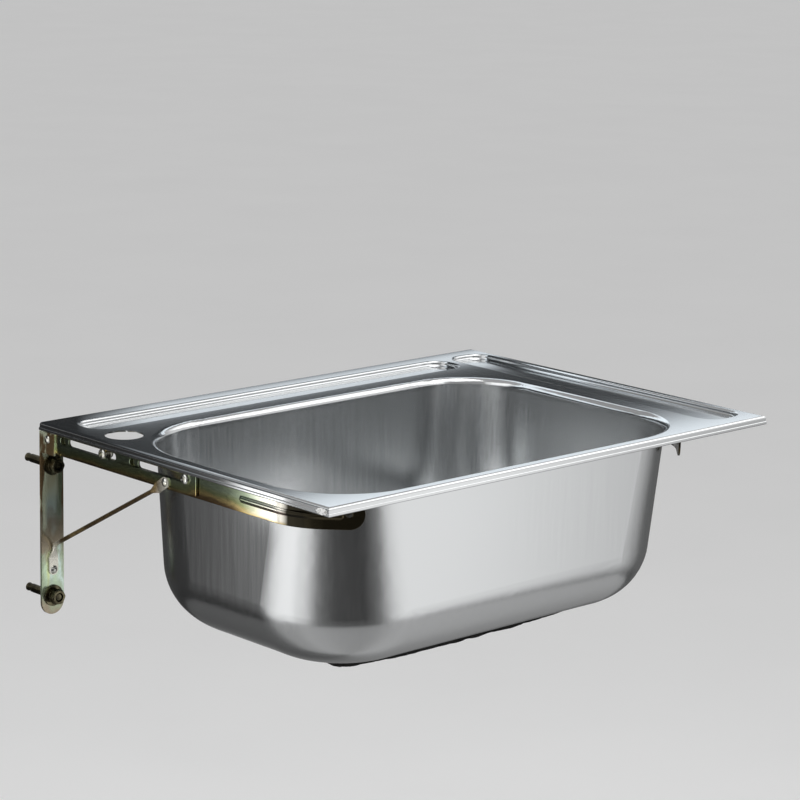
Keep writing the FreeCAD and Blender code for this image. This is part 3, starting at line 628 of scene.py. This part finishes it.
seal_black = new_finish("seal_black", 0.0)
colour_by(seal_black, ramp(seal_black, grain(seal_black, (300, 300, 300)),
                           ((0.3, (0.02, 0.02, 0.02)), (0.7, (0.05, 0.05, 0.05)))))
roughness_by(seal_black, grain(seal_black, (600, 600, 600)), 0.5, 0.75)
dress(seal_black, "waste_gasket", "basket_stopper")

moulded_white = new_finish("moulded_white", 0.0)
colour_by(moulded_white, ramp(moulded_white, grain(moulded_white, (60, 60, 60)),
                              ((0.3, (0.70, 0.70, 0.67)), (0.7, (0.80, 0.80, 0.78)))))
roughness_by(moulded_white, grain(moulded_white, (900, 900, 900)), 0.35, 0.5)
dress(moulded_white, "waste_washer", "waste_locknut")


# Studio: a plain pale floor, at the height under a mounted sink, and soft light. A ring of light and dark
# panels, which only gloss sees, gives the steel something to mirror, and so do a card at the back of the
# sink and a small one beside the left arm.

def stage_piece(name, bm, finish, only_gloss):
    """Makes a bmesh part of the studio, which gloss alone may see."""
    mesh = bpy.data.meshes.new(name)
    bm.to_mesh(mesh)
    bm.free()
    mesh.materials.append(finish)
    piece = bpy.data.objects.new(name, mesh)
    bpy.context.scene.collection.objects.link(piece)
    if only_gloss:
        piece.visible_camera = False
        piece.visible_diffuse = False
        piece.visible_shadow = False
        piece.visible_transmission = False


def glowing(name):
    """The finish of a panel that gives light, and its shader, whose colour the caller links."""
    finish = bpy.data.materials.new(name)
    finish.use_nodes = True
    nodes = finish.node_tree.nodes
    nodes.remove(nodes["Principled BSDF"])
    glow = nodes.new("ShaderNodeEmission")
    finish.node_tree.links.new(glow.outputs["Emission"], nodes["Material Output"].inputs["Surface"])
    return finish, glow


floor_height = -0.8
floor_half = 20.0
floor_lift = 0.16
floor_pale = new_finish("floor_pale", 0.0)
colour_by(floor_pale, ramp(floor_pale, grain(floor_pale, (3, 3, 3)),
                           ((0.3, (0.77, 0.77, 0.77)), (0.7, (0.79, 0.79, 0.79)))))
floor_shader = floor_pale.node_tree.nodes["Principled BSDF"]
floor_shader.inputs["Roughness"].default_value = 0.9
floor_shader.inputs["Emission Color"].default_value = (1, 1, 1, 1)
floor_nodes, floor_links = floor_pale.node_tree.nodes, floor_pale.node_tree.links
seen_by = floor_nodes.new("ShaderNodeLightPath")
seen = seen_by.outputs["Is Camera Ray"]
for ray in ("Is Glossy Ray", "Is Transmission Ray"):
    either = floor_nodes.new("ShaderNodeMath")
    either.operation = "MAXIMUM"
    floor_links.new(seen, either.inputs[0])
    floor_links.new(seen_by.outputs[ray], either.inputs[1])
    seen = either.outputs["Value"]
lifted = floor_nodes.new("ShaderNodeMath")
lifted.operation = "MULTIPLY"
lifted.inputs[1].default_value = floor_lift
floor_links.new(seen, lifted.inputs[0])
floor_links.new(lifted.outputs["Value"], floor_shader.inputs["Emission Strength"])
floor = bmesh.new()
bmesh.ops.create_grid(floor, x_segments=1, y_segments=1, size=floor_half,
                      matrix=Matrix.Translation((0, 0, floor_height)))
stage_piece("floor", floor, floor_pale, only_gloss=False)

ring_radius = 1.2
ring_centre = Vector((0.0, -0.24, 0.0))
ring_segments = 128
panel_fade = 0.25
disc_foot = floor_height + 0.01
disc_top = floor_height + 0.02
rim_top = sheet_high.z
head_height = 0.55
ceiling_height = 1.6
quarter_turn = 0.25


def panels(name, foot, top, inner, lights, foot_share=1.0):
    """A ring of panels round the sink, or a disc where it narrows to nothing, seen by gloss alone. The
    lights are at compass angles, from straight ahead of the sink and anticlockwise from above. They fade
    into each other, and fall to a share of their strength at the ring's foot."""
    finish, glow = glowing(name)
    nodes, links = finish.node_tree.nodes, finish.node_tree.links
    compass = nodes.new("ShaderNodeTexCoord")
    centred = nodes.new("ShaderNodeMapping")
    centred.inputs["Location"].default_value = -ring_centre
    turned = nodes.new("ShaderNodeTexGradient")
    turned.gradient_type = "RADIAL"
    links.new(compass.outputs["Object"], centred.inputs["Vector"])
    links.new(centred.outputs["Vector"], turned.inputs["Vector"])
    stops = sorted(((angle / 360 + quarter_turn) % 1, (light,) * 3) for angle, light in lights)
    height_share = ramp(finish, along(finish, "Z", foot, foot + panel_fade),
                        ((0.0, (foot_share,) * 3), (1.0, full_share)))
    ring_light = mixed(finish, height_share, no_share, ramp(finish, turned.outputs["Fac"], stops))
    links.new(ring_light, glow.inputs["Color"])
    ring = bmesh.new()
    middle = ring_centre + Vector((0, 0, (foot + top) / 2))
    bmesh.ops.create_cone(ring, segments=ring_segments, radius1=ring_radius, radius2=inner,
                          depth=top - foot, cap_ends=False, matrix=Matrix.Translation(middle))
    stage_piece(name, ring, finish, only_gloss=True)


panels("under_panel", disc_foot, disc_top, 0.0, (
    (-178, 0.1), (-133, 0.14), (-115, 0.4), (-90, 0.5), (-66, 0.45), (-50, 0.4), (-18, 0.36), (0, 0.4),
    (20, 0.5), (45, 0.52), (70, 0.46), (100, 0.32), (178, 0.1)))
panels("lower_panels", floor_height, rim_top, ring_radius, (
    (-178, 0.05), (-143, 0.03), (-135, 0.03), (-130, 0.11), (-124, 0.5), (-117, 0.98), (-108, 1.25),
    (-94, 1.35), (-80, 1.05), (-66, 0.2), (-50, 0.07), (-18, 0.05), (-2, 0.22), (14, 0.95), (36, 1.2),
    (45, 0.85), (52, 0.6), (64, 0.42), (80, 0.14), (112, 0.12), (128, 0.2), (138, 0.15), (143, 0.6),
    (154, 0.6), (160, 0.06), (178, 0.05)), foot_share=0.32)
panels("middle_panels", rim_top, head_height, ring_radius, (
    (-178, 0.3), (-140, 0.3), (-126, 0.9), (-84, 0.9), (-66, 0.3), (0, 0.3), (12, 0.8), (84, 0.9),
    (110, 0.35), (178, 0.35)))
panels("upper_panels", head_height, ceiling_height, ring_radius, (
    (-178, 0.4), (-140, 0.4), (-126, 1.5), (-84, 1.5), (-66, 0.4), (0, 0.4), (12, 1.6), (45, 1.9),
    (84, 1.9), (110, 0.4), (178, 0.4)))

card_distance = 0.045
card_foot = rim_top + 0.008
card_top = 0.34
card_half = 1.2
card_dark_to, card_bright_from = -0.17, -0.08
card_tint = Vector((0.93, 1.0, 1.06))
wall_card, card_glow = glowing("wall_card")
card_height = along(wall_card, "Z", card_foot, card_top)
bright_part = ramp(wall_card, card_height, [(place, card_tint * light) for place, light in (
    (0.0, 0.05), (0.025, 0.1), (0.04, 1.0), (0.08, 1.0), (0.1, 0.1), (0.2, 0.05), (0.38, 0.05),
    (0.55, 0.08), (0.62, 1.4), (1.0, 1.4))])
dark_part = ramp(wall_card, card_height, [(place, card_tint * light) for place, light in (
    (0.0, 0.03), (0.5, 0.04), (0.62, 0.3), (1.0, 0.4))])
card_share = along(wall_card, "X", card_dark_to, card_bright_from)
card_light = mixed(wall_card, card_share, dark_part, bright_part)
wall_card.node_tree.links.new(card_light, card_glow.inputs["Color"])
card = bmesh.new()
corners = [card.verts.new((x, card_distance, z)) for x, z in (
    (-card_half, card_foot), (card_half, card_foot), (card_half, card_top), (-card_half, card_top))]
card.faces.new(corners)
stage_piece("wall_card", card, wall_card, only_gloss=True)

arm_card_distance = 0.10
arm_card_back, arm_card_front = -0.150, -0.232
arm_card_foot, arm_card_top = 0.028, 0.068
arm_card, arm_glow = glowing("arm_card")
arm_card_light = ramp(arm_card, along(arm_card, "Y", arm_card_back, arm_card_front),
                      ((0.0, (0.2, 0.2, 0.2)), (0.45, (2.2, 2.2, 2.2)), (1.0, (2.6, 2.6, 2.6))))
arm_card.node_tree.links.new(arm_card_light, arm_glow.inputs["Color"])
little_card = bmesh.new()
little_card.faces.new([little_card.verts.new((arm_low.x - arm_card_distance, y, z)) for y, z in (
    (arm_card_back, arm_card_foot), (arm_card_front, arm_card_foot), (arm_card_front, arm_card_top),
    (arm_card_back, arm_card_top))])
stage_piece("arm_card", little_card, arm_card, only_gloss=True)


def softbox(name, angle, distance, height, width, length, power):
    """An area lamp aimed at the bowl; the panels stand for it in the steel's gloss."""
    lamp = bpy.data.lights.new(name, "AREA")
    lamp.shape = "RECTANGLE"
    lamp.size = width
    lamp.size_y = length
    lamp.energy = power
    piece = bpy.data.objects.new(name, lamp)
    turn = math.radians(angle)
    aim = Vector((0.0, ring_centre.y, 0.0))
    piece.location = aim + Vector((distance * math.sin(turn), -distance * math.cos(turn), height))
    piece.rotation_euler = (aim - piece.location).to_track_quat("-Z", "Y").to_euler()
    piece.visible_camera = False
    bpy.context.scene.collection.objects.link(piece)
    return piece


softbox("left_softbox", -105, 1.7, 0.5, 0.9, 1.4, 9).visible_glossy = False
softbox("right_softbox", 40, 1.7, 0.5, 0.9, 1.4, 9).visible_glossy = False
softbox("top_softbox", 20, 0.5, 1.8, 1.6, 1.2, 16)

world = bpy.data.worlds.new("studio")
world.use_nodes = True
sky = world.node_tree.nodes["Background"]
sky.inputs["Color"].default_value = (0.8, 0.8, 0.8, 1.0)
sky.inputs["Strength"].default_value = 0.6
bpy.context.scene.world = world


# Camera: in front and to the left of the sink, a little above its rim, with a long lens. Its place was
# fitted to the rim's edges, the bowl's outline and the wall plate.

photo_side = 800
focal_pixels = 2874
camera_place = (-1.7526, -2.0917, 0.6979)
camera_heading, camera_dip, camera_roll = -43.10, 12.50, 1.155
lens = bpy.data.cameras.new("camera")
lens.sensor_width = 36
lens.lens = lens.sensor_width * focal_pixels / photo_side
camera = bpy.data.objects.new("camera", lens)
heading = Matrix.Rotation(math.radians(camera_heading), 4, "Z")
pitch_down = Matrix.Rotation(math.radians(90 - camera_dip), 4, "X")
roll = Matrix.Rotation(math.radians(camera_roll), 4, "Z")
camera.matrix_world = Matrix.Translation(camera_place) @ heading @ pitch_down @ roll
bpy.context.scene.collection.objects.link(camera)
bpy.context.scene.camera = camera
bpy.context.scene.view_settings.view_transform = "Standard"
